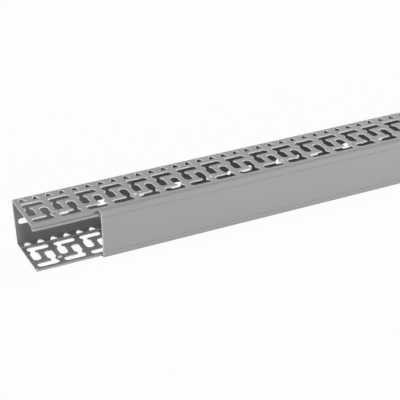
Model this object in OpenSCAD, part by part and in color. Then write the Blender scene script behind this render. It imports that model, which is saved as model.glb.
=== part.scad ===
// Slotted wiring trunking with a clip-on cover, one stock length of each.
// It lies on one slotted side wall: X runs along the length, the cover faces -Y
// and the base, with its mounting slots, is at +Y. The origin is at the middle
// of the footprint, on the floor.
// Sections are drawn with the depth u from the back of the base on their first
// axis and the height v over the floor on their second.

/* [Stock] */
// Length of the body and of the cover
length = 1000; // [300:25:2000]
// Width over the two side walls
body_w = 45; // [36:1:80]
// Height from the back of the base to the front of the closed cover
trunk_h = 65; // [60:1:100]
// Thickness of the side walls
wall_t = 1.2; // [0.9:0.1:1.8]
// Thickness of the base
base_t = 1.4; // [1:0.1:2.2]
// Fillet between the base and a side wall, inside
corner_fillet = 1; // [0.5:0.1:1.5]
// Rounding between the base and a side wall, outside
corner_r = 0.6; // [0.3:0.1:1.2]

/* [T slots] */
// Length of one cell of two interlocking T slots
pitch = 25; // [22:0.5:32]
// Middle of the first cell from the end of the body
first_cell = 13.7; // [12.5:0.1:20]
// Least plain wall between the end of the body and the nearest hole
end_margin = 1.2; // [1:0.1:10]
// Distance of the slots from the back of the base
slots_from_u = 14.45; // [12.5:0.05:16]
// Plain land between the slots and the lip
slots_land = 5.3; // [4:0.05:8]
// Plain wall between the bars of two cells
bar_gap = 5.2; // [3:0.1:7]
// Width of a T slot's bar
bar_w = 7.9; // [7:0.1:9]
// Rounding of a bar's corners
bar_r = 3.2; // [1:0.1:3.4]
// Width of a T slot's stem at its nibs
neck_w = 4.1; // [3.5:0.1:6]
// Length of the narrow part of the stem
neck_len = 2.65; // [2:0.05:4]
// Length over which the stem widens past its nibs
flare_len = 2.6; // [1:0.1:4]
// Rounding of the nibs
nib_r = 0.8; // [0.5:0.1:1.4]
// Width of the stem past its nibs
bulb_w = 7.65; // [6.5:0.05:8.8]
// Plain wall between the end of a stem and the other slot's bar
stem_web = 5.35; // [3:0.05:7]

/* [Vents] */
// Plain wall between the corner fillet and a vent's point
vent_land = 0.1; // [0.1:0.1:1.5]
// Distance of a vent's flat side from the back of the base
vent_flat_u = 9.7; // [8:0.1:10]
// Width of a triangular vent
vent_w = 7; // [5:0.1:9]
// Width of a vent's blunt point
vent_point_w = 1.9; // [0.6:0.1:3]
// Width of the blunt corners beside a vent's flat side
vent_blunt = 0.8; // [0.4:0.1:1.2]
// Diameter of the pilot holes between the cells
pilot_d = 4; // [1.5:0.1:4.5]
// Cells from one pilot hole to the next
pilot_cells = 3; // [1:1:6]
// Width of the score line between the vents and the slots
score_w = 1.2; // [0.4:0.1:1.6]
// Depth of the score line
score_d = 0.4; // [0.2:0.1:0.6]

/* [Base holes] */
// Distance between mounting slots
mount_pitch = 37.5; // [30:0.5:60]
// Middle of the first mounting slot from the end of the body
first_mount = 9; // [8:0.1:20]
// Length of a mounting slot
mount_len = 11.8; // [8:0.1:14]
// Width of a mounting slot
mount_w = 5.8; // [4.5:0.1:7]
// Diameter of the round holes between the mounting slots
round_d = 4.4; // [3:0.1:6]

/* [Cover] */
// Thickness of the cover
cover_t = 1.2; // [0.9:0.1:1.6]
// Depth of the cover's flanges, from its front
flange_h = 5; // [4.8:0.1:8]
// Rounding of the cover's outer corners
cover_r = 2; // [1.3:0.1:3]
// Distance of a flange's nib from the back of the flange
nib_back = 1.3; // [1:0.05:1.4]
// How far a nib stands in
nib_h = 1.35; // [1:0.05:1.8]
// Width of a nib at its root
nib_root = 1; // [0.8:0.1:1.2]
// Width of a nib at its tip
nib_tip = 0.6; // [0.4:0.1:0.8]
// Thickness of the inner ribs
rib_t = 1; // [0.8:0.1:1.4]
// Depth of the inner ribs
rib_h = 2.5; // [1:0.1:4]
// Gap between a rib and the lip that it backs
rib_gap = 0.9; // [0.5:0.1:1.5]
// Depth of the sink line on the front, over each rib
sink_d = 0.15; // [0.1:0.05:0.3]
// Width of the sink line
sink_w = 1.2; // [0.6:0.1:2]
// How far the cover is slid along the body
cover_slide = 61; // [0:1:250]

/* [Fit] */
// Clearance between the cover and the body
fit = 0.35; // [0.3:0.05:0.5]
// How far the barb of a lip stands out past its groove
barb_h = 0.7; // [0.5:0.05:0.9]
// Length of the barb's back slope
barb_run = 0.4; // [0.2:0.05:0.6]

/* [Hidden] */
$fn = 48;

body_colour = [0.58, 0.59, 0.58];
cover_colour = [0.64, 0.65, 0.64];

// Ends of the body and of the cover on X, and the back of the base on Y
body_x0 = -(length + cover_slide) / 2;
cover_x0 = body_x0 + cover_slide;
back_y = trunk_h / 2;
mid_v = body_w / 2;
past = 1;

// Lip: shoulder behind the flange, groove for the nib, barb and nose
flange_u = trunk_h - flange_h;
shoulder_u = flange_u - fit;
nib_u = flange_u + nib_back;
groove_v = cover_t + nib_h + fit;
groove_u0 = nib_u - nib_root / 2 - fit;
groove_u1 = nib_u + nib_root / 2 + fit;
nose_u = trunk_h - cover_t - fit;
lip_in_v = groove_v + wall_t;
nose_blunt = wall_t / 4;
rib_v = lip_in_v + rib_gap + rib_t / 2;

// T slots: the two of a cell are turned about the point at slot_mid_u
slots_to_u = shoulder_u - slots_land;
slot_mid_u = (slots_from_u + slots_to_u) / 2;
bar_len = pitch - bar_gap;
bar_off = (slots_to_u - slots_from_u - bar_w) / 2;
bar_edge = bar_off - bar_w / 2;
stem_off = pitch / 4;
stem_y = stem_web - bar_edge;
neck_y = bar_edge - neck_len;
flare_y = neck_y - flare_len;

vent_point_u = base_t + corner_fillet + vent_land;
score_u = (vent_flat_u + slots_from_u) / 2;
pilot_u = slots_to_u - bar_w - pilot_d / 2;

// Counts along the length
cells = floor((length - first_cell - bar_len / 2 - end_margin) / pitch) + 1;
mounts = floor((length - first_mount - mount_len / 2 - end_margin) / mount_pitch) + 1;

// The points of a section on the lower side, moved to the upper side and kept turning one way
function upper(points) = [for (i = [len(points) - 1 : -1 : 0]) [points[i][0], body_w - points[i][1]]];

// Runs a section along X
module along_x(x0, run) {
    translate([x0 + run, back_y, 0])
        rotate([90, 0, -90])
            linear_extrude(run)
                children();
}

// Draws an outline on the lower and on the upper side
module both_sides(points) {
    polygon(points);
    polygon(upper(points));
}

// Obround with its length on the first axis
module obround(len, wid) {
    square([len - wid, wid], center = true);
    for (side = [-1, 1])
        translate([side * (len - wid) / 2, 0])
            circle(d = wid);
}

// Side walls with their inturned lips: shoulder, groove, barb and nose
module wall_sections() {
    both_sides([
        [0, 0],
        [shoulder_u, 0],
        [shoulder_u, cover_t + fit],
        [groove_u0, groove_v],
        [groove_u1, groove_v],
        [groove_u1 + barb_run, groove_v - barb_h],
        [nose_u, groove_v - barb_h + nose_blunt],
        [nose_u, lip_in_v - nose_blunt],
        [nose_u - nose_blunt, lip_in_v],
        [groove_u0 - wall_t / 2, lip_in_v],
        [shoulder_u - wall_t, wall_t],
        [0, wall_t]
    ]);
}

// Fillet in an inner corner, drawn in the corner's own frame
module corner_fillet_section() {
    bite = min(wall_t, base_t) / 2;
    difference() {
        translate([-bite, -bite])
            square(corner_fillet + bite);
        translate([corner_fillet, corner_fillet])
            circle(r = corner_fillet);
    }
}

// What is taken off an outer corner, drawn in the corner's own frame
module corner_rounding_section() {
    difference() {
        translate([-past, -past])
            square(corner_r + past);
        translate([corner_r, corner_r])
            circle(r = corner_r);
    }
}

// Section of the body, with a V score inside each wall, on which it is snapped off
module body_section() {
    difference() {
        union() {
            square([base_t, body_w]);
            wall_sections();
            translate([base_t, wall_t])
                corner_fillet_section();
            translate([base_t, body_w - wall_t])
                rotate(-90)
                    corner_fillet_section();
        }
        corner_rounding_section();
        translate([0, body_w])
            rotate(-90)
                corner_rounding_section();
        both_sides([
            [score_u - score_w / 2, wall_t + past],
            [score_u - score_w / 2, wall_t],
            [score_u, wall_t - score_d],
            [score_u + score_w / 2, wall_t],
            [score_u + score_w / 2, wall_t + past]
        ]);
    }
}

// Rounds off the nib between the long side of a bar and its stem
module nib_rounding() {
    difference() {
        translate([0, -nib_r])
            square(nib_r);
        translate([nib_r, -nib_r])
            circle(r = nib_r);
    }
}

// Bar of a T slot, with rounded corners
module t_bar() {
    square([bar_len - 2 * bar_r, bar_w], center = true);
    square([bar_len, bar_w - 2 * bar_r], center = true);
    for (x = [-1, 1], y = [-1, 1])
        translate([x * (bar_len / 2 - bar_r), y * (bar_w / 2 - bar_r)])
            circle(r = bar_r);
}

// Stem of a T slot, from the middle of its bar: narrow at its nibs, then wide, with a round end
module t_stem() {
    polygon([
        [-neck_w / 2, bar_off],
        [-neck_w / 2, neck_y],
        [-bulb_w / 2, flare_y],
        [-bulb_w / 2, stem_y + bulb_w / 2],
        [bulb_w / 2, stem_y + bulb_w / 2],
        [bulb_w / 2, flare_y],
        [neck_w / 2, neck_y],
        [neck_w / 2, bar_off]
    ]);
    translate([0, stem_y + bulb_w / 2])
        circle(d = bulb_w);
}

// One T slot: its bar is on the base side and its stem runs to the front
module t_slot() {
    translate([0, bar_off])
        t_bar();
    translate([-stem_off, 0])
        t_stem();
    translate([-stem_off + neck_w / 2, bar_edge])
        nib_rounding();
}

// Triangular vent with blunt corners, its point to the base
module vent() {
    half = vent_w / 2;
    polygon([
        [-vent_point_w / 2, -vent_point_u],
        [vent_point_w / 2, -vent_point_u],
        [half, vent_blunt - vent_flat_u],
        [half - vent_blunt / 2, -vent_flat_u],
        [vent_blunt / 2 - half, -vent_flat_u],
        [-half, vent_blunt - vent_flat_u]
    ]);
}

// Everything punched through the two side walls, seen from above
module wall_punching() {
    for (i = [0 : cells - 1])
        translate([first_cell + i * pitch, 0]) {
            translate([0, -slot_mid_u]) {
                t_slot();
                rotate(180) t_slot();
            }
            for (side = [-1, 1])
                translate([side * stem_off, 0])
                    vent();
        }
    for (i = [0 : pilot_cells : cells - 2])
        translate([first_cell + (i + 0.5) * pitch, -pilot_u])
            circle(d = pilot_d);
}

// Everything punched through the base, seen from the front
module base_punching() {
    for (i = [0 : mounts - 1])
        translate([first_mount + i * mount_pitch, mid_v])
            obround(mount_len, mount_w);
    for (i = [1 : 2 : mounts - 2])
        translate([first_mount + (i + 0.5) * mount_pitch, mid_v])
            circle(d = round_d);
}

// Extruded and punched channel
module body() {
    color(body_colour)
        difference() {
            along_x(body_x0, length) body_section();
            translate([body_x0, back_y, -past])
                linear_extrude(body_w + 2 * past)
                    wall_punching();
            translate([body_x0, back_y + past, 0])
                rotate([90, 0, 0])
                    linear_extrude(base_t + 2 * past)
                        base_punching();
        }
}

// Front plate with rounded corners, hollowed to a flanged channel
module cover_shell() {
    difference() {
        union() {
            translate([flange_u, 0])
                square([flange_h - cover_r, body_w]);
            translate([trunk_h - cover_r, cover_r])
                square([cover_r, body_w - 2 * cover_r]);
            for (v = [cover_r, body_w - cover_r])
                translate([trunk_h - cover_r, v])
                    circle(r = cover_r);
        }
        translate([flange_u - past, cover_t])
            square([flange_h - cover_t + past, body_w - 2 * cover_t]);
    }
}

// Nibs inside the flanges, which catch behind the barbs of the lips
module nib_sections() {
    both_sides([
        [nib_u - nib_root / 2, cover_t / 2],
        [nib_u + nib_root / 2, cover_t / 2],
        [nib_u + nib_root / 2, cover_t],
        [nib_u + nib_tip / 2, cover_t + nib_h],
        [nib_u - nib_tip / 2, cover_t + nib_h],
        [nib_u - nib_root / 2, cover_t]
    ]);
}

// Ribs behind the front plate, which keep the lips from bending inwards
module rib_sections() {
    rib_u = trunk_h - cover_t - rib_h;
    both_sides([
        [rib_u, rib_v - rib_t / 2],
        [rib_u + rib_h + cover_t / 2, rib_v - rib_t / 2],
        [rib_u + rib_h + cover_t / 2, rib_v + rib_t / 2],
        [rib_u, rib_v + rib_t / 2]
    ]);
}

// Shallow lines that the ribs leave on the front
module sink_sections() {
    both_sides([
        [trunk_h + past, rib_v - sink_w / 2],
        [trunk_h, rib_v - sink_w / 2],
        [trunk_h - sink_d, rib_v],
        [trunk_h, rib_v + sink_w / 2],
        [trunk_h + past, rib_v + sink_w / 2]
    ]);
}

// Clip-on cover, slid along the body
module cover() {
    color(cover_colour)
        along_x(cover_x0, length)
            difference() {
                union() {
                    cover_shell();
                    nib_sections();
                    rib_sections();
                }
                sink_sections();
            }
}

body();
cover();
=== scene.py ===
"""Slotted wiring trunking with a clip-on cover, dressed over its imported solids.

The classes hold their sizes in millimetres. A section is drawn with the depth u
from the back of the base and the height v over the floor, and the length runs
along X. Meshes are written in metres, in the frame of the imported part.
"""
import logging
import math
from dataclasses import dataclass, field
from enum import Enum
from typing import Any, Iterable, Mapping, Sequence

import bmesh
import bpy
import numpy as np
from mathutils import Matrix
from mathutils.geometry import delaunay_2d_cdt


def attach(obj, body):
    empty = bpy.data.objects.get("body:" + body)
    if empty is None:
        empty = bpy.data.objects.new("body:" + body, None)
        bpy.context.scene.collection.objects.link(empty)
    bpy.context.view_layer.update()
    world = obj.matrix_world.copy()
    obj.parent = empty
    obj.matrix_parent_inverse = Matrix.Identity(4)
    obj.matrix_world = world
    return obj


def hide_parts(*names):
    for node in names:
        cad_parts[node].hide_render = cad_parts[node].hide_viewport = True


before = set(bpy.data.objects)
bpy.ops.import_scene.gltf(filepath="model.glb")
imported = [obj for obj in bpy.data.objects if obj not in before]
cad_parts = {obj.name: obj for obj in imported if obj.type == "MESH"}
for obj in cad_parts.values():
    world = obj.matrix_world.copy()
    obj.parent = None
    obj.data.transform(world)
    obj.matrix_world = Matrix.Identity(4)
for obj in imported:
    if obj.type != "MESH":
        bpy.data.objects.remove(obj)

Array = np.ndarray
Colour = tuple[float, float, float, float]

LOG = logging.getLogger("trunking")
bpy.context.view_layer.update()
MM = 0.001
WHITE: Colour = (1.0, 1.0, 1.0, 1.0)
TINY = 1e-9
SAME_POINT = 1e-6
LEAST_TURN = 1e-6
LEAST_MITRE = 0.3
SHEET_REACH = 1e-7
WELD_DIGITS = 4


class Surface(Enum):
    """How a face came about, as the share of fresh cut that its finish shows; two shares also hold painted
    light, as noted below.
    """

    EXTRUDED = 0.0
    # A faint share of the cut colour. On the cover's sawn ends it is scuffing with a painted highlight,
    # and on the base's punched walls it is painted shade.
    FAINTLY_PALE = 0.25
    RIM = 0.8
    PUNCHED = 0.98
    # The score line's faces: its whitening, with a painted highlight where its facets catch light.
    SCORE_AND_HIGHLIGHT = 0.9
    SAWN = 1.0


class Wall(Enum):
    """Which flat of the channel a punched sheet lies in."""

    SIDE = "side"
    BASE = "base"


def arc(centre: tuple[float, float], radius: float, start: float, end: float, steps: int) -> Array:
    """Points on an arc: centre + radius (cos a, sin a), with a even from start to end.

    Args:
        centre: Middle of the arc.
        radius: Its radius.
        start: First angle in degrees.
        end: Last angle in degrees.
        steps: Number of chords.

    Returns:
        Array of steps + 1 points.
    """
    a = np.radians(np.linspace(start, end, steps + 1))
    return np.stack([centre[0] + radius * np.cos(a), centre[1] + radius * np.sin(a)], axis=1)


def without_doubles(loop: Array) -> Array:
    """The closed loop without points that repeat the one before."""
    return loop[np.linalg.norm(loop - np.roll(loop, 1, axis=0), axis=1) > SAME_POINT]


def rounded(corners: Sequence[tuple[float, float, float]], steps: int) -> Array:
    """A closed outline with rounded corners, all corners worked out at once.

    A corner P with unit vectors a and b to its neighbours and an angle t between
    them has its arc's middle at P + r / sin(t / 2) along the bisector. The arc runs
    from P + a r / tan(t / 2) to the same place on b, by spherical interpolation.

    Args:
        corners: Points of the outline, each with its radius.
        steps: Chords in each arc.

    Returns:
        Array of the outline's points.
    """
    data = np.asarray(corners, float)
    p, r = data[:, :2], data[:, 2:]
    a = np.roll(p, 1, axis=0) - p
    b = np.roll(p, -1, axis=0) - p
    a /= np.linalg.norm(a, axis=1, keepdims=True)
    b /= np.linalg.norm(b, axis=1, keepdims=True)
    half = np.arccos(np.clip((a * b).sum(axis=1, keepdims=True), -1.0, 1.0)) / 2
    middle = (a + b) / np.maximum(np.linalg.norm(a + b, axis=1, keepdims=True), TINY)
    centre = p + middle * r / np.sin(half)
    first = p + a * r / np.tan(half) - centre
    last = p + b * r / np.tan(half) - centre
    turn = np.maximum(math.pi - 2 * half, LEAST_TURN)[:, None]
    k = np.linspace(0.0, 1.0, steps + 1)[None, :, None]
    swept = (np.sin((1 - k) * turn) * first[:, None] + np.sin(k * turn) * last[:, None]) / np.sin(turn)
    return without_doubles((centre[:, None] + swept).reshape(-1, 2))


def grown(loop: Array, by: float) -> Array:
    """A loop moved out by a distance, each point along the mean of its two edges' normals.

    Args:
        loop: Closed loop that turns anticlockwise.
        by: Distance that each edge moves.

    Returns:
        The moved loop, point for point.
    """
    ahead = np.roll(loop, -1, axis=0) - loop
    ahead /= np.linalg.norm(ahead, axis=1, keepdims=True)
    normal = np.stack([ahead[:, 1], -ahead[:, 0]], axis=1)
    behind = np.roll(normal, 1, axis=0)
    share = 1.0 + (normal * behind).sum(axis=1, keepdims=True)
    return loop + by * (normal + behind) / np.maximum(share, LEAST_MITRE)


def inside(points: Array, loop: Array) -> Array:
    """Which points lie in a loop, by counting the edges that a ray along +x crosses.

    Args:
        points: Array of points.
        loop: Closed loop.

    Returns:
        One truth value for each point.
    """
    x, y = points[:, :1], points[:, 1:]
    x0, y0 = loop[:, 0], loop[:, 1]
    x1, y1 = np.roll(loop, -1, axis=0).T
    spans = (y0 <= y) != (y1 <= y)
    level = np.where(y1 == y0, 1.0, y1 - y0)
    return (spans & (x < x0 + (y - y0) * (x1 - x0) / level)).sum(axis=1) % 2 == 1


def punched_sheet(outline: Array, holes: Sequence[Array]) -> tuple[Array, Array]:
    """A flat sheet with holes, as the constrained triangles that lie in the outline and in no hole.

    The points are the given ones, unrounded, so that neighbouring patches weld to them.

    Args:
        outline: Closed outer loop.
        holes: Closed loops inside it.

    Returns:
        The points and the triangles.
    """
    loops = [outline, *holes]
    starts = np.cumsum([0] + [len(loop) for loop in loops])
    edges = np.concatenate([
        np.stack([np.arange(len(loop)), np.roll(np.arange(len(loop)), -1)], axis=1) + start
        for loop, start in zip(loops, starts)])
    given = np.concatenate(loops)
    made = delaunay_2d_cdt(given.tolist(), edges.tolist(), [], 0, SHEET_REACH)
    points, triangles = given[[twins[0] for twins in made[3]]], np.array(made[2])
    middles = points[triangles].mean(axis=1)
    keep = inside(middles, outline)
    for hole in holes:
        keep &= ~inside(middles, hole)
    return points, triangles[keep]


@dataclass
class Shell:
    """Patches of one piece, gathered in millimetres and welded into one closed mesh."""

    points: list[Array] = field(default_factory=list)
    faces: list[list[int]] = field(default_factory=list)
    marks: list[Array] = field(default_factory=list)
    count: int = 0

    def add(self, points: Array, faces: Array, surface: Surface) -> None:
        """Adds a patch.

        Args:
            points: Its points in the part's frame.
            faces: Its triangles or quads.
            surface: How the faces came about.
        """
        self.points.append(points)
        self.faces.extend((faces + self.count).tolist())
        self.marks.append(np.full(len(faces), surface.value))
        self.count += len(points)

    def add_grid(self, points: Array, surface: Surface) -> None:
        """Adds a grid of points as quads between neighbouring rows and columns.

        Args:
            points: Array of rows by columns by 3.
            surface: How the faces came about.
        """
        rows, cols = points.shape[:2]
        index = np.arange(rows * cols).reshape(rows, cols)
        quads = np.stack([index[:-1, :-1], index[1:, :-1], index[1:, 1:], index[:-1, 1:]], axis=-1)
        self.add(points.reshape(-1, 3), quads.reshape(-1, 4), surface)

    def make(self, name: str, smooth_below: float = 34.0) -> bpy.types.Object:
        """Welds the patches, turns the faces outwards and makes the object.

        Args:
            name: Name of the piece.
            smooth_below: Angle in degrees under which edges are shaded smooth.

        Returns:
            The new object.
        """
        points = np.concatenate(self.points)
        near = np.round(points, WELD_DIGITS)
        _, first, twin = np.unique(near, axis=0, return_index=True, return_inverse=True)
        twin = twin.ravel().tolist()
        mesh = bpy.data.meshes.new(name)
        mesh.from_pydata((points[first] * MM).tolist(), [], [[twin[i] for i in f] for f in self.faces])
        cut = mesh.attributes.new("cut", "FLOAT", "FACE")
        cut.data.foreach_set("value", np.concatenate(self.marks).astype(np.float32))
        work = bmesh.new()
        work.from_mesh(mesh)
        bmesh.ops.recalc_face_normals(work, faces=work.faces)
        work.to_mesh(mesh)
        work.free()
        mesh.shade_smooth()
        mesh.set_sharp_from_angle(angle=math.radians(smooth_below))
        made = bpy.data.objects.new(name, mesh)
        bpy.context.scene.collection.objects.link(made)
        return made


class Wire:
    """A shader value. Python operators on it add Math nodes."""

    def __init__(self, book: "NodeBook", socket: bpy.types.NodeSocket) -> None:
        """Keeps the socket and the book that it is in."""
        self.book = book
        self.socket = socket

    def __add__(self, other: "Wire | float") -> "Wire":
        """self + other."""
        return self.book.math("ADD", self, other)

    def __radd__(self, other: float) -> "Wire":
        """other + self."""
        return self.book.math("ADD", other, self)

    def __sub__(self, other: "Wire | float") -> "Wire":
        """self - other."""
        return self.book.math("SUBTRACT", self, other)

    def __rsub__(self, other: float) -> "Wire":
        """other - self."""
        return self.book.math("SUBTRACT", other, self)

    def __mul__(self, other: "Wire | float") -> "Wire":
        """self times other."""
        return self.book.math("MULTIPLY", self, other)

    def __rmul__(self, other: float) -> "Wire":
        """other times self."""
        return self.book.math("MULTIPLY", other, self)

    def step(self, low: float, high: float) -> "Wire":
        """0 below low, 1 above high, and smooth between."""
        return self.book.value("ShaderNodeMapRange", "Result", {"interpolation_type": "SMOOTHSTEP"},
                               {"Value": self, "From Min": low, "From Max": high})


class NodeBook:
    """The node tree of one material or world."""

    def __init__(self, tree: bpy.types.NodeTree) -> None:
        """Starts with an empty tree."""
        self.tree = tree
        tree.nodes.clear()

    def node(self, kind: str, settings: Mapping[str, Any] | None = None,
             inputs: Mapping[str | int, Any] | None = None) -> bpy.types.Node:
        """Adds a node.

        Args:
            kind: Its type.
            settings: Its own settings, which are set first.
            inputs: Values or wires for its sockets.

        Returns:
            The node.
        """
        made = self.tree.nodes.new(kind)
        for key, value in (settings or {}).items():
            setattr(made, key, value)
        for key, value in (inputs or {}).items():
            if isinstance(value, Wire):
                self.tree.links.new(value.socket, made.inputs[key])
            else:
                made.inputs[key].default_value = value
        return made

    def value(self, kind: str, output: str | int, settings: Mapping[str, Any] | None = None,
              inputs: Mapping[str | int, Any] | None = None) -> Wire:
        """Adds a node and returns one of its outputs as a wire."""
        return Wire(self, self.node(kind, settings, inputs).outputs[output])

    def math(self, operation: str, a: "Wire | float", b: "Wire | float") -> Wire:
        """A Math node on two values."""
        return self.value("ShaderNodeMath", "Value", {"operation": operation}, {0: a, 1: b})

    def mix(self, factor: "Wire | float", a: "Wire | Colour", b: "Wire | Colour") -> Wire:
        """A colour between a and b."""
        return self.value("ShaderNodeMix", 2, {"data_type": "RGBA"}, {0: factor, 6: a, 7: b})

    def noise(self, place: Wire, scale: float, detail: float) -> Wire:
        """A noise from 0 to 1 over a place."""
        inputs = {"Vector": place, "Scale": scale, "Detail": detail}
        return self.value("ShaderNodeTexNoise", "Fac", None, inputs)

    def seen(self) -> Wire:
        """The mask of what is looked at, as the greatest of three of Light Path's outputs.

        Returns:
            1 for the camera, a reflection or a clear piece, and 0 for light that falls on things.
        """
        path = self.node("ShaderNodeLightPath")
        rays = ("Is Camera Ray", "Is Glossy Ray", "Is Transmission Ray")
        camera, glossy, clear = (Wire(self, path.outputs[ray]) for ray in rays)
        return self.math("MAXIMUM", camera, self.math("MAXIMUM", glossy, clear))


@dataclass(frozen=True)
class ExtrudedPvc:
    """Satin grey PVC: die lines along the length, a fine grain, and paler cut faces.

    Colours are linear. Distances are in metres.
    """

    name: str
    light: Colour
    dark: Colour
    cut: Colour = (0.9, 0.905, 0.89, 1.0)
    roughness: float = 0.4
    specular: float = 0.4
    line_pitch: float = 0.0011
    line_run: float = 0.45
    line_depth: float = 0.000006
    line_detail: float = 4.0
    line_gloss: float = 0.14
    grain_size: float = 0.0004
    grain_depth: float = 0.000003
    grain_detail: float = 2.0
    cut_grain: float = 2.0
    cut_roughness: float = 0.16
    cloud_scale: float = 11.0
    cloud_detail: float = 3.0
    cloud_share: float = 0.55
    tone_low: float = 0.3
    tone_high: float = 0.7

    def material(self) -> bpy.types.Material:
        """Makes the material.

        The die lines are a noise that is drawn out along X, so that it only changes
        across the length. A broad noise clouds the colour. The mesh's own attribute
        says which faces were punched, sawn or scored, and those are paler and rougher.
        Its share also holds painted light: a painted highlight on the score line and
        the cover's sawn ends, and painted shade that keeps the base's hole walls dark.

        Returns:
            The new material.
        """
        made = bpy.data.materials.new(self.name)
        made.use_nodes = True
        book = NodeBook(made.node_tree)
        place = book.value("ShaderNodeTexCoord", "Object")
        pulled = (1 / self.line_run, 1 / self.line_pitch, 1 / self.line_pitch)
        drawn = book.value("ShaderNodeMapping", "Vector", None, {"Vector": place, "Scale": pulled})
        lines = book.noise(drawn, 1.0, self.line_detail)
        cloud = book.noise(place, self.cloud_scale, self.cloud_detail)
        grain = book.noise(place, 1 / self.grain_size, self.grain_detail)
        # The share of pale cut colour. For the score line and the cover's end bands it holds a painted
        # highlight, and for the base's hole walls painted shade.
        fresh = book.value("ShaderNodeAttribute", "Fac", {"attribute_name": "cut"})
        tone = self.cloud_share * cloud + (1.0 - self.cloud_share) * lines
        skin = book.mix(tone.step(self.tone_low, self.tone_high), self.dark, self.light)
        ridges = lines * (self.line_depth * (1.0 - fresh))
        relief = ridges + grain * (self.grain_depth * (1.0 + self.cut_grain * fresh))
        bump = book.value("ShaderNodeBump", "Normal", None,
                          {"Strength": 1.0, "Distance": 1.0, "Height": relief})
        shader = book.value("ShaderNodeBsdfPrincipled", "BSDF", None, {
            "Base Color": book.mix(fresh, skin, self.cut),
            "Roughness": self.roughness + self.line_gloss * (lines - 0.5) + self.cut_roughness * fresh,
            "Specular IOR Level": self.specular,
            "Normal": bump})
        book.node("ShaderNodeOutputMaterial", None, {"Surface": shader})
        return made


@dataclass
class TrunkSection:
    """Sizes that the channel and its cover share, and the frame of the section."""

    length: float = 1000.0
    slide: float = 61.0
    width: float = 45.0
    height: float = 65.0
    wall: float = 1.2
    cover: float = 1.2
    flange: float = 5.0
    fit: float = 0.35
    nib_back: float = 1.3
    nib_height: float = 1.35
    nib_root: float = 1.0

    @property
    def body_start(self) -> float:
        """X of the channel's bare end."""
        return -(self.length + self.slide) / 2

    @property
    def flange_u(self) -> float:
        """Depth of the back edge of the cover's flanges."""
        return self.height - self.flange

    @property
    def nib_u(self) -> float:
        """Depth of the middle of the cover's nibs."""
        return self.flange_u + self.nib_back

    @property
    def groove_v(self) -> float:
        """Height of the floor of the lower lip's groove."""
        return self.cover + self.nib_height + self.fit

    def place(self, x: Array, u: Array, v: Array) -> Array:
        """Points in the part's frame: x as it is, y = half the height - u, z = v."""
        x, u, v = np.broadcast_arrays(x, u, v)
        return np.stack([x, self.height / 2 - u, v], axis=-1)

    def both_sides(self, lower: Sequence[tuple[float, float, float]]) -> list[tuple[float, float, float]]:
        """A run of corners on the lower side, then the same on the upper side the other way round."""
        return [*lower, *[(u, self.width - v, r) for u, v, r in reversed(lower)]]

    def run(self, shell: Shell, loop: Array, stations: Array, surface: Surface = Surface.EXTRUDED) -> None:
        """Carries edges of a section along X, as a grid of stations by section points.

        Args:
            shell: Where the faces go.
            loop: Run of section points, one edge for each neighbouring pair.
            stations: X of the grid's rows, or rows of an x for each section point.
            surface: How the faces came about.
        """
        x = stations.reshape(len(stations), -1)
        shell.add_grid(self.place(x, loop[None, :, 0], loop[None, :, 1]), surface)

    def cap(self, shell: Shell, loop: Array, x: float | Array) -> None:
        """Closes one end with the section's outline, a sawn face at one x or at an x for each point."""
        points, triangles = punched_sheet(loop, [])
        shell.add(self.place(x, points[:, 0], points[:, 1]), triangles, Surface.SAWN)


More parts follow.
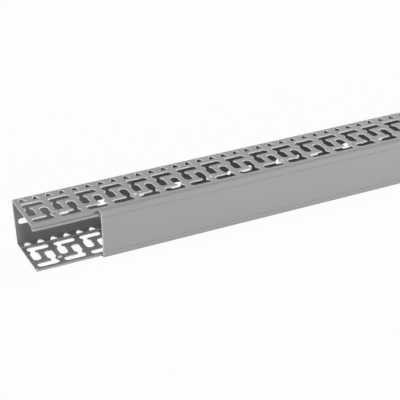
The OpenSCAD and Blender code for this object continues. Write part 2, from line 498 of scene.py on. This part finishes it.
@dataclass
class SlottedBody:
    """The extruded and punched channel."""

    section: TrunkSection
    finish: ExtrudedPvc
    base: float = 1.4
    fillet: float = 1.0
    corner: float = 0.6
    barb_run: float = 0.4
    barb_height: float = 0.7
    pitch: float = 25.0
    first_cell: float = 13.7
    cells: int = 40
    cells_in_sheet: int = 3
    slots_from: float = 14.45
    slots_land: float = 5.3
    bar_gap: float = 5.2
    bar_width: float = 7.9
    bar_round: float = 3.2
    neck_width: float = 4.1
    neck_length: float = 2.65
    flare: float = 2.6
    nib_round: float = 0.8
    stem_width: float = 7.65
    stem_web: float = 5.35
    vent_land: float = 0.1
    vent_flat: float = 9.7
    vent_width: float = 7.0
    vent_point: float = 1.9
    vent_blunt: float = 0.8
    vent_round: float = 0.35
    pilot: float = 4.0
    score_width: float = 1.2
    score_depth: float = 0.4
    mount_pitch: float = 37.5
    first_mount: float = 9.0
    mounts: int = 27
    mount_length: float = 11.8
    mount_width: float = 5.8
    round_hole: float = 4.4
    outer_rim: float = 0.24
    inner_rim: float = 0.06
    edge_round: float = 0.22
    step_round: float = 0.3
    groove_round: float = 0.25
    barb_round: float = 0.2
    nose_round: float = 0.1
    lip_round: float = 0.9
    score_round: float = 0.1
    least_flat: float = 6.0
    section_chords: int = 6
    slot_chords: int = 8
    vent_chords: int = 3
    pilot_chords: int = 20
    hole_chords: int = 24

    @property
    def shoulder(self) -> float:
        """Depth of the step behind the cover's flange."""
        return self.section.flange_u - self.section.fit

    @property
    def slots_to(self) -> float:
        """Depth at which the T slots end."""
        return self.shoulder - self.slots_land

    @property
    def score_u(self) -> float:
        """Depth of the score line, between the vents and the slots."""
        return (self.vent_flat + self.slots_from) / 2

    def profile(self) -> Array:
        """The section's closed outline: outer face, lip, inner face with its score line, and base.

        Returns:
            Array of (u, v) points, from the base's outer corner along the lower wall.
        """
        s = self.section
        blunt = s.wall / 4
        lip_in = s.groove_v + s.wall
        groove_0 = s.nib_u - s.nib_root / 2 - s.fit
        groove_1 = s.nib_u + s.nib_root / 2 + s.fit
        nose = s.height - s.cover - s.fit
        score = self.score_u
        lower = [
            (0.0, 0.0, self.corner),
            (self.shoulder, 0.0, self.edge_round),
            (self.shoulder, s.cover + s.fit, self.step_round),
            (groove_0, s.groove_v, self.step_round),
            (groove_1, s.groove_v, self.groove_round),
            (groove_1 + self.barb_run, s.groove_v - self.barb_height, self.barb_round),
            (nose, s.groove_v - self.barb_height + blunt, self.barb_round),
            (nose, lip_in - blunt, self.nose_round),
            (nose - blunt, lip_in, self.nose_round),
            (groove_0 - s.wall / 2, lip_in, self.lip_round),
            (self.shoulder - s.wall, s.wall, self.lip_round),
            (score + self.score_width / 2, s.wall, 0.0),
            (score, s.wall - self.score_depth, self.score_round),
            (score - self.score_width / 2, s.wall, 0.0),
            (self.base, s.wall, self.fillet),
        ]
        return rounded(s.both_sides(lower), self.section_chords)

    def on_score(self, points: Array) -> Array:
        """Which section points lie in a score line, whose sides are painted pale: the score's whitening,
        with a painted highlight where its facets catch light.

        Args:
            points: Array of (u, v) points.

        Returns:
            One truth value for each point.
        """
        near_wall = np.minimum(points[:, 1], self.section.width - points[:, 1])
        beside = np.abs(points[:, 0] - self.score_u) < self.score_width / 2
        return beside & (near_wall > self.section.wall / 4) & (near_wall < self.section.wall)

    def t_slot(self) -> Array:
        """Outline of one T slot about the middle of its bar, its stem towards -y.

        Arcs round the bar's corners, the stem's end and the nib beside the bar's long
        side. Straight edges join them, and the stem flares from its neck.

        Returns:
            Closed loop that turns anticlockwise.
        """
        half, w, r = (self.pitch - self.bar_gap) / 2, self.bar_width / 2, self.bar_round
        stem, neck, wide = -self.pitch / 4, self.neck_width / 2, self.stem_width / 2
        middle = (self.slots_to - self.slots_from) - self.bar_width
        end = self.stem_web + w - middle
        meet = 360.0 - math.degrees(math.acos((stem - neck + half - r) / r))
        neck_y = -w - self.neck_length
        n = self.slot_chords
        turns = ((1, -1, 270, 360), (1, 1, 0, 90), (-1, 1, 90, 180), (-1, -1, 180, meet))
        corners = [arc((x * (half - r), y * (w - r)), r, a, b, n) for x, y, a, b in turns]
        flank = np.array([(stem - neck, neck_y), (stem - wide, neck_y - self.flare)])
        other = np.array([(stem + wide, neck_y - self.flare), (stem + neck, neck_y)])
        foot = arc((stem, end + wide), wide, 180, 360, 2 * n)
        nib = arc((stem + neck + self.nib_round, -w - self.nib_round), self.nib_round, 180, 90, n // 2)
        return without_doubles(np.concatenate([*corners, flank, foot, other, nib]))

    def vent(self) -> Array:
        """Outline of a triangular vent about x 0, its point to the base at y = -u.

        Returns:
            Closed loop that turns anticlockwise.
        """
        half, tip, blunt, r = self.vent_width / 2, self.vent_point / 2, self.vent_blunt, self.vent_round
        point = -(self.base + self.fillet + self.vent_land)
        flat = -self.vent_flat
        corners = [
            (tip, point, r),
            (-tip, point, r),
            (-half, flat + blunt, r),
            (blunt / 2 - half, flat, r),
            (half - blunt / 2, flat, r),
            (half, flat + blunt, r),
        ]
        return rounded(corners, self.vent_chords)

    def cell(self, at: float) -> list[Array]:
        """Loops of one cell as (x, u): two T slots turned half round about its middle, and their vents.

        Args:
            at: X of the cell's middle from the channel's end.

        Returns:
            The cell's closed loops.
        """
        bar = self.slots_from + self.bar_width / 2
        middle = (self.slots_from + self.slots_to) / 2
        t, vent = self.t_slot(), self.vent()
        near = t + (0.0, -bar)
        far = -(near + (0.0, middle)) - (0.0, middle)
        side = self.pitch / 4
        loops = (near, far, vent - (side, 0.0), vent + (side, 0.0))
        return [loop * (1.0, -1.0) + (at, 0.0) for loop in loops]

    def side_loops(self, cells: range) -> list[Array]:
        """Loops of neighbouring cells as (x, u). A full sheet has a pilot hole after its first cell.

        Args:
            cells: Places of the cells in the row.

        Returns:
            The closed loops of all the holes.
        """
        at = [self.first_cell + i * self.pitch for i in cells]
        pilot_u = self.slots_to - self.bar_width - self.pilot / 2
        loops = [loop for x in at for loop in self.cell(x)]
        if len(at) == self.cells_in_sheet:
            pilot = (at[0] + self.pitch / 2, pilot_u)
            loops.append(arc(pilot, self.pilot / 2, 0, 360, self.pilot_chords)[:-1])
        return loops

    def base_loops(self, mounts: Iterable[int], rounds: Iterable[int]) -> list[Array]:
        """Loops of mounting slots and round holes as (x, v). A slot is two half circles, joined.

        Args:
            mounts: Places of the slots in the row.
            rounds: Places of the slots that a round hole follows.

        Returns:
            The closed loops of all the holes.
        """
        mid = self.section.width / 2
        half, r, n = (self.mount_length - self.mount_width) / 2, self.mount_width / 2, self.hole_chords
        ends = (arc((half, mid), r, -90, 90, n // 2), arc((-half, mid), r, 90, 270, n // 2))
        slot = np.concatenate(ends)
        hole = arc((self.mount_pitch / 2, mid), self.round_hole / 2, 0, 360, n)[:-1]
        start = self.first_mount
        return [without_doubles(slot) + (start + i * self.mount_pitch, 0.0) for i in mounts] + [
            hole + (start + i * self.mount_pitch, 0.0) for i in rounds]

    def sheets(self) -> list[tuple[float, float, int, dict[Wall, list[Array]]]]:
        """The stretches of the length: start, end, number of repeats along X, and the loops of the first.

        The pattern of three cells repeats, and the two ends of the length are left over.

        Returns:
            One entry for each kind of stretch.
        """
        run = self.cells_in_sheet * self.pitch
        start = self.first_cell - self.pitch / 2
        repeats = self.cells // self.cells_in_sheet
        end = start + repeats * run
        tail = range(repeats * self.cells_in_sheet, self.cells)
        return [
            (0.0, start, 1, {Wall.SIDE: [], Wall.BASE: []}),
            (start, start + run, repeats, {
                Wall.SIDE: self.side_loops(range(self.cells_in_sheet)),
                Wall.BASE: self.base_loops((0, 1), (1,))}),
            (end, self.section.length, 1, {
                Wall.SIDE: self.side_loops(tail),
                Wall.BASE: self.base_loops((self.mounts - 1,), ())}),
        ]

    def stations(self) -> Array:
        """X of every boundary between stretches, from the channel's end."""
        ends = [end + (end - start) * np.arange(repeats) for start, end, repeats, _ in self.sheets()]
        return np.concatenate([[0.0], *ends])

    def add_flat(self, shell: Shell, ends: Array, wall: Wall, rim: float) -> None:
        """One flat of the section as punched sheets, repeated along X.

        Args:
            shell: Where the faces go.
            ends: The two section points that the flat runs between.
            wall: Which loops cut it.
            rim: How far the holes are opened out at this face.
        """
        across = 0 if wall is Wall.SIDE else 1
        low, high = sorted(ends[:, across])
        for start, end, repeats, loops in self.sheets():
            frame_loop = np.array([(start, low), (end, low), (end, high), (start, high)])
            holes = [grown(loop, rim) if self.turns_left(loop) else grown(loop[::-1], rim)
                     for loop in loops[wall] if loop[:, 1].min() > low and loop[:, 1].max() < high]
            points, triangles = punched_sheet(frame_loop, holes)
            section_points = np.repeat(ends[:1], len(points), axis=0)
            section_points[:, across] = points[:, 1]
            self.add_repeats(shell, points[:, 0], section_points, triangles, end - start, repeats,
                             Surface.EXTRUDED)

    @staticmethod
    def turns_left(loop: Array) -> bool:
        """Whether a loop turns anticlockwise, by the sign of its area."""
        x, y = loop.T
        return float((x * np.roll(y, -1) - np.roll(x, -1) * y).sum()) > 0

    def add_repeats(self, shell: Shell, x: Array, at: Array, faces: Array, step: float, repeats: int,
                    surface: Surface) -> None:
        """Adds a patch several times along X, all copies at once.

        Args:
            shell: Where the faces go.
            x: X of the patch's points from the channel's end.
            at: Their section points.
            faces: Faces of one copy.
            step: Distance between copies.
            repeats: Number of copies.
            surface: How the faces came about.
        """
        shift = self.section.body_start + step * np.arange(repeats)[:, None]
        points = self.section.place(x[None] + shift, at[None, :, 0], at[None, :, 1]).reshape(-1, 3)
        index = faces[None] + len(x) * np.arange(repeats)[:, None, None]
        shell.add(points, index.reshape(-1, faces.shape[1]), surface)

    def add_rims(self, shell: Shell, wall: Wall, outer: float, inner: float) -> None:
        """The cut walls of one flat's holes: a ring of four levels between the two faces.

        The hole's own outline stands between the rims. At each face the outline is
        opened out by that face's rim, over the same depth. The side walls' holes
        are whitened. The base's hole walls are kept darker as painted shade, for the shade inside the
        channel.

        Args:
            shell: Where the faces go.
            wall: Which loops.
            outer: Level of the outer face.
            inner: Level of the inner face.
        """
        way = math.copysign(1.0, inner - outer)
        levels = (outer, outer + way * self.outer_rim, inner - way * self.inner_rim, inner)
        opened = (self.outer_rim, 0.0, 0.0, self.inner_rim)
        kinds = (Surface.RIM, Surface.PUNCHED, Surface.RIM)
        # Painted shade: the base's punched walls take only a faint share of the pale cut colour, darker
        # than the side walls' same cut, to stand for the shade they lie in inside the channel.
        if wall is Wall.BASE:
            kinds = (Surface.EXTRUDED, Surface.FAINTLY_PALE, Surface.EXTRUDED)
        for start, end, repeats, loops in self.sheets():
            for loop in loops[wall]:
                ring = loop if self.turns_left(loop) else loop[::-1]
                rows = np.stack([grown(ring, by) for by in opened])
                level = np.broadcast_to(np.array(levels)[:, None], rows.shape[:2])
                n = len(ring)
                index = np.arange(n)
                quads = np.stack([index, np.roll(index, -1), np.roll(index, -1) + n, index + n], axis=1)
                for k, kind in enumerate(kinds):
                    pair = rows[k:k + 2].reshape(-1, 2)
                    height = level[k:k + 2].reshape(-1)
                    at = (pair[:, 1], height) if wall is Wall.SIDE else (height, pair[:, 1])
                    self.add_repeats(shell, pair[:, 0], np.stack(at, axis=1), quads, end - start,
                                     repeats, kind)

    def build(self) -> bpy.types.Object:
        """Makes the channel: short edges of the section are run along X, long ones are punched sheets.

        Returns:
            The channel's object.
        """
        s = self.section
        loop = self.profile()
        ahead = np.roll(loop, -1, axis=0)
        size = np.abs(ahead - loop)
        long = size.max(axis=1) > self.least_flat
        stations = self.stations() + s.body_start
        shell = Shell()
        # The score line's faces are painted pale: whitening, with a painted highlight along the groove.
        scored = self.on_score((loop + ahead) / 2)
        for i in np.flatnonzero(~long):
            surface = Surface.SCORE_AND_HIGHLIGHT if scored[i] else Surface.EXTRUDED
            s.run(shell, np.stack([loop[i], ahead[i]]), stations, surface)
        for i in np.flatnonzero(long):
            flat = np.stack([loop[i], ahead[i]])
            wall = Wall.SIDE if size[i, 0] > size[i, 1] else Wall.BASE
            level = flat[0, 1] if wall is Wall.SIDE else flat[0, 0]
            outside = level in (0.0, s.width)
            self.add_flat(shell, flat, wall, self.outer_rim if outside else self.inner_rim)
        self.add_rims(shell, Wall.SIDE, 0.0, s.wall)
        self.add_rims(shell, Wall.SIDE, s.width, s.width - s.wall)
        self.add_rims(shell, Wall.BASE, 0.0, self.base)
        for x in (0.0, s.length):
            s.cap(shell, loop, x + s.body_start)
        return shell.make("slotted_channel")

    def dress(self) -> bpy.types.Object:
        """Builds the channel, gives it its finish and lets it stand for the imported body.

        Returns:
            The channel's object.
        """
        made = self.build()
        made.data.materials.append(self.finish.material())
        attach(made, "channel")
        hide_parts("body")
        return made


@dataclass
class ClipCover:
    """The extruded cover: front, flanges, nibs and ribs in one section."""

    section: TrunkSection
    finish: ExtrudedPvc
    corner: float = 2.0
    nib_tip: float = 0.6
    rib: float = 1.0
    rib_depth: float = 2.5
    rib_gap: float = 0.9
    sink_depth: float = 0.45
    sink_width: float = 0.6
    scuff_and_highlight: float = 0.8
    askew: float = 1.2
    sink_round: float = 0.05
    flange_round: float = 0.22
    nib_foot: float = 0.15
    nib_round: float = 0.2
    inner_round: float = 0.5
    rib_foot: float = 0.2
    rib_round: float = 0.25
    chords: int = 6
    rows: int = 9

    def profile(self) -> Array:
        """The section's closed outline, from the lower rib round the outside and back along the inside.

        Returns:
            Array of (u, v) points.
        """
        s = self.section
        front, inner = s.height, s.height - s.cover
        rib_v = s.groove_v + s.wall + self.rib_gap + self.rib / 2
        tip = s.cover + s.nib_height
        lower = [
            (front - self.sink_depth, rib_v, self.sink_round),
            (front, rib_v - self.sink_width / 2, self.sink_round),
            (front, 0.0, self.corner),
            (s.flange_u, 0.0, self.flange_round),
            (s.flange_u, s.cover, self.flange_round),
            (s.nib_u - s.nib_root / 2, s.cover, self.nib_foot),
            (s.nib_u - self.nib_tip / 2, tip, self.nib_round),
            (s.nib_u + self.nib_tip / 2, tip, self.nib_round),
            (s.nib_u + s.nib_root / 2, s.cover, self.nib_foot),
            (inner, s.cover, self.inner_round),
            (inner, rib_v - self.rib / 2, self.rib_foot),
            (inner - self.rib_depth, rib_v - self.rib / 2, self.rib_round),
            (inner - self.rib_depth, rib_v + self.rib / 2, self.rib_round),
            (inner, rib_v + self.rib / 2, self.rib_foot),
        ]
        outline = s.both_sides(lower)
        beside = rib_v + self.sink_width / 2
        sunk = [(front, v, self.sink_round) for v in (s.width - beside, beside)]
        return rounded([*outline, *sunk], self.chords)

    def build(self) -> bpy.types.Object:
        """Makes the cover: its section carried along X between two sawn ends.

        The first end is sawn a little off square: its x grows with the height v, by
        askew from the lower to the upper edge.

        Returns:
            The cover's object.
        """
        s = self.section
        start = s.body_start + s.slide
        loop = self.profile()
        shell = Shell()
        end = start + s.length
        closed = np.concatenate([loop, loop[:1]])
        sawn = start + self.askew * (closed[:, 1] / s.width - 0.5)
        # A pale band at each sawn end: scuffing of the cut, with a painted highlight along the cut edge.
        s.run(shell, closed, np.stack([sawn, sawn + self.scuff_and_highlight]), Surface.FAINTLY_PALE)
        far = np.full(len(sawn), end - self.scuff_and_highlight)
        s.run(shell, closed, np.linspace(sawn + self.scuff_and_highlight, far, self.rows))
        s.run(shell, closed, np.array([end - self.scuff_and_highlight, end]), Surface.FAINTLY_PALE)
        s.cap(shell, loop, sawn[:-1])
        s.cap(shell, loop, end)
        return shell.make("clip_cover")

    def dress(self) -> bpy.types.Object:
        """Builds the cover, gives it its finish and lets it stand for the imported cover.

        Returns:
            The cover's object.
        """
        made = self.build()
        made.data.materials.append(self.finish.material())
        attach(made, "lid")
        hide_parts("cover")
        return made


@dataclass(frozen=True)
class Lamp:
    """A soft square lamp that faces the part."""

    name: str
    place: tuple[float, float, float]
    aim: tuple[float, float, float]
    size: float
    power: float

    def hang(self) -> bpy.types.Object:
        """Makes the lamp and turns it to its aim, with its upper edge level.

        Returns:
            The lamp's object.
        """
        data = bpy.data.lights.new(self.name, "AREA")
        data.shape, data.size, data.energy = "SQUARE", self.size, self.power
        made = bpy.data.objects.new(self.name, data)
        bpy.context.scene.collection.objects.link(made)
        back = np.subtract(self.place, self.aim)
        back = back / np.linalg.norm(back)
        right = np.cross((0.0, 0.0, 1.0), back)
        right = right / np.linalg.norm(right)
        turn = Matrix(np.stack([right, np.cross(back, right), back], axis=1).tolist()).to_4x4()
        made.matrix_world = Matrix.Translation(self.place) @ turn
        return made


@dataclass
class Studio:
    """Pale floor, soft light and the photograph's camera."""

    floor_half: float = 9.0
    floor_grey: float = 0.62
    floor_white: float = 0.97
    sky_level: float = 0.03
    lamps: tuple[Lamp, ...] = (
        Lamp("front_lamp", (4.9, -5.3, 0.7), (-0.3, 0.0, 0.0), 1.4, 515.0),
        Lamp("top_lamp", (1.6, 1.4, 3.9), (0.0, 0.0, 0.0), 2.6, 120.0),
        Lamp("end_lamp", (-4.4, -2.2, 1.3), (-0.3, 0.0, 0.0), 2.0, 75.0),
        Lamp("left_lamp", (-4.5, 0.8, 1.5), (-0.3, 0.0, 0.0), 1.6, 48.0),
    )
    camera_place: tuple[float, float, float] = (-0.7587, -0.93224, 0.50532)
    camera_right: tuple[float, float, float] = (0.909675, -0.412695, -0.046636)
    camera_down: tuple[float, float, float] = (-0.217663, -0.378096, -0.899814)
    camera_ahead: tuple[float, float, float] = (0.353715, 0.82869, -0.433773)
    lens: float = 108.274
    sensor: float = 36.0
    clip: tuple[float, float] = (0.01, 60.0)

    def floor(self) -> None:
        """A wide floor. What the camera sees of it is nearly all white, and the rest takes the shadow."""
        h = self.floor_half
        mesh = bpy.data.meshes.new("floor")
        mesh.from_pydata([(-h, -h, 0.0), (h, -h, 0.0), (h, h, 0.0), (-h, h, 0.0)], [], [(0, 1, 2, 3)])
        made = bpy.data.objects.new("floor", mesh)
        bpy.context.scene.collection.objects.link(made)
        paint = bpy.data.materials.new("floor_paint")
        paint.use_nodes = True
        book = NodeBook(paint.node_tree)
        grey = (self.floor_grey,) * 3 + (1.0,)
        matt = book.value("ShaderNodeBsdfDiffuse", "BSDF", None, {"Color": grey})
        glow = book.value("ShaderNodeEmission", "Emission", None, {"Color": WHITE, "Strength": 1.0})
        mixed = book.value("ShaderNodeMixShader", "Shader", None,
                           {0: book.seen() * self.floor_white, 1: matt, 2: glow})
        book.node("ShaderNodeOutputMaterial", None, {"Surface": mixed})
        mesh.materials.append(paint)

    def sky(self) -> None:
        """An even, dim world that is white where the camera looks past the floor."""
        world = bpy.data.worlds.new("soft_box")
        bpy.context.scene.world = world
        world.use_nodes = True
        book = NodeBook(world.node_tree)
        level = self.sky_level + (1.0 - self.sky_level) * book.seen()
        even = book.value("ShaderNodeBackground", "Background", None, {"Color": WHITE, "Strength": level})
        book.node("ShaderNodeOutputWorld", None, {"Surface": even})

    def camera(self) -> None:
        """The camera, from its axes as they were fitted to the photograph."""
        data = bpy.data.cameras.new("camera")
        data.sensor_width, data.lens = self.sensor, self.lens
        data.clip_start, data.clip_end = self.clip
        made = bpy.data.objects.new("camera", data)
        bpy.context.scene.collection.objects.link(made)
        up, back = np.negative(self.camera_down), np.negative(self.camera_ahead)
        axes = np.stack([self.camera_right, up, back], axis=1)
        made.matrix_world = Matrix.Translation(self.camera_place) @ Matrix(axes.tolist()).to_4x4()
        bpy.context.scene.camera = made

    def set_up(self) -> None:
        """Builds the whole studio."""
        self.floor()
        self.sky()
        self.camera()
        for lamp in self.lamps:
            lamp.hang()
        bpy.context.scene.view_settings.view_transform = "Standard"


def main() -> None:
    """Builds the studio, the channel and the cover, and reports each piece."""
    logging.basicConfig(level=logging.INFO, format="%(name)s: %(message)s")
    Studio().set_up()
    section = TrunkSection()
    channel = ExtrudedPvc("channel_pvc", light=(0.347, 0.353, 0.343, 1.0), dark=(0.339, 0.345, 0.335, 1.0))
    lid = ExtrudedPvc("cover_pvc", light=(0.334, 0.342, 0.33, 1.0), dark=(0.327, 0.335, 0.323, 1.0),
                      roughness=0.55, specular=0.32, grain_depth=0.0000015)
    for made in (SlottedBody(section, channel).dress(), ClipCover(section, lid).dress()):
        LOG.info("%s: %d faces", made.name, len(made.data.polygons))


if __name__ == "__main__":
    main()
